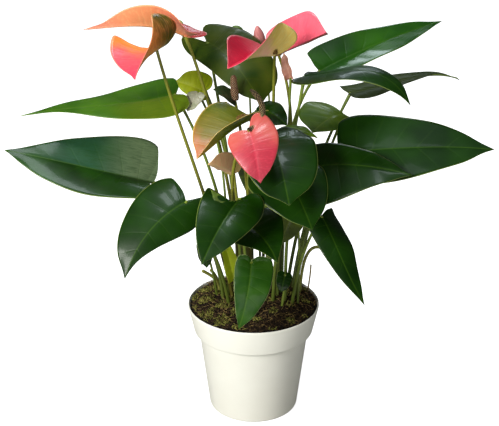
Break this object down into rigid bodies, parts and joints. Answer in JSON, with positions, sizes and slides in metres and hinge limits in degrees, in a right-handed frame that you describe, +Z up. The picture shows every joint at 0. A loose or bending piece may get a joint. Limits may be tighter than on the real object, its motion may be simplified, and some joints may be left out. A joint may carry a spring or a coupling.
{
  "type": "potted anthurium",
  "caption": "Potted anthurium with glossy heart-shaped leaves and salmon to crimson blooms on long stems, standing in peat in a plain white nursery pot.",
  "frame": {"origin": "centre of the pot's underside, on the face that it stands on", "axes": "+X to the viewer's right in the picture, +Y away from the viewer, +Z up"},
  "size_m": [0.4131, 0.2204, 0.3821],
  "materials": {
    "pot": "satin",
    "peat": "matte",
    "leaf": "gloss",
    "young_leaf": "satin",
    "stem": "satin",
    "dry_stem": "matte",
    "spathe": "gloss",
    "old_spathe": "gloss",
    "bract": "satin",
    "spadix": "matte"
  },
  "bodies": {
    "root": {"bloom_heart_spadix": "spadix", "bloom_heart_spathe": "spathe", "bloom_heart_stalk": "stem", "bloom_hooded_spadix": "spadix", "bloom_hooded_spathe": "spathe", "bloom_hooded_stalk": "stem", "bloom_left_back_spadix": "spadix", "bloom_left_back_spathe": "spathe", "bloom_left_back_stalk": "stem", "bloom_left_spadix": "spadix", "bloom_left_spathe": "spathe", "bloom_left_stalk": "stem", "bloom_old_spadix": "spadix", "bloom_old_spathe": "old_spathe", "bloom_old_stalk": "stem", "bloom_right_back_spadix": "spadix", "bloom_right_back_spathe": "spathe", "bloom_right_back_stalk": "stem", "bloom_right_spadix": "spadix", "bloom_right_spathe": "spathe", "bloom_right_stalk": "stem", "bloom_small_spathe": "spathe", "bloom_small_stalk": "stem", "bract_withered": "bract", "bud_back_green": "young_leaf", "bud_back_pink": "bract", "bud_left": "young_leaf", "leaf_back_low": "leaf", "leaf_back_right": "leaf", "leaf_back_right_low": "leaf", "leaf_centre_behind": "leaf", "leaf_centre_dark": "leaf", "leaf_centre_narrow": "leaf", "leaf_centre_round": "leaf", "leaf_front_centre": "leaf", "leaf_front_left": "leaf", "leaf_front_low": "leaf", "leaf_hanging_dark": "leaf", "leaf_left_hidden": "leaf", "leaf_left_lower": "leaf", "leaf_left_middle": "leaf", "leaf_left_upper": "leaf", "leaf_right_drooping": "leaf", "leaf_right_large": "leaf", "leaf_right_near": "leaf", "leaf_right_small": "leaf", "leaf_soil": "leaf", "leaf_top_large": "leaf", "leaf_upper_right": "leaf", "leaf_upper_right_arched": "leaf", "leaf_young_bright": "young_leaf", "leaf_young_cupped": "young_leaf", "petiole_cut_right": "stem", "pot": "pot", "sheath_bright": "young_leaf", "soil": "peat", "stick_dry": "dry_stem", "stub_left": "stem", "stub_left_upper": "stem"}
  },
  "joints": []
}
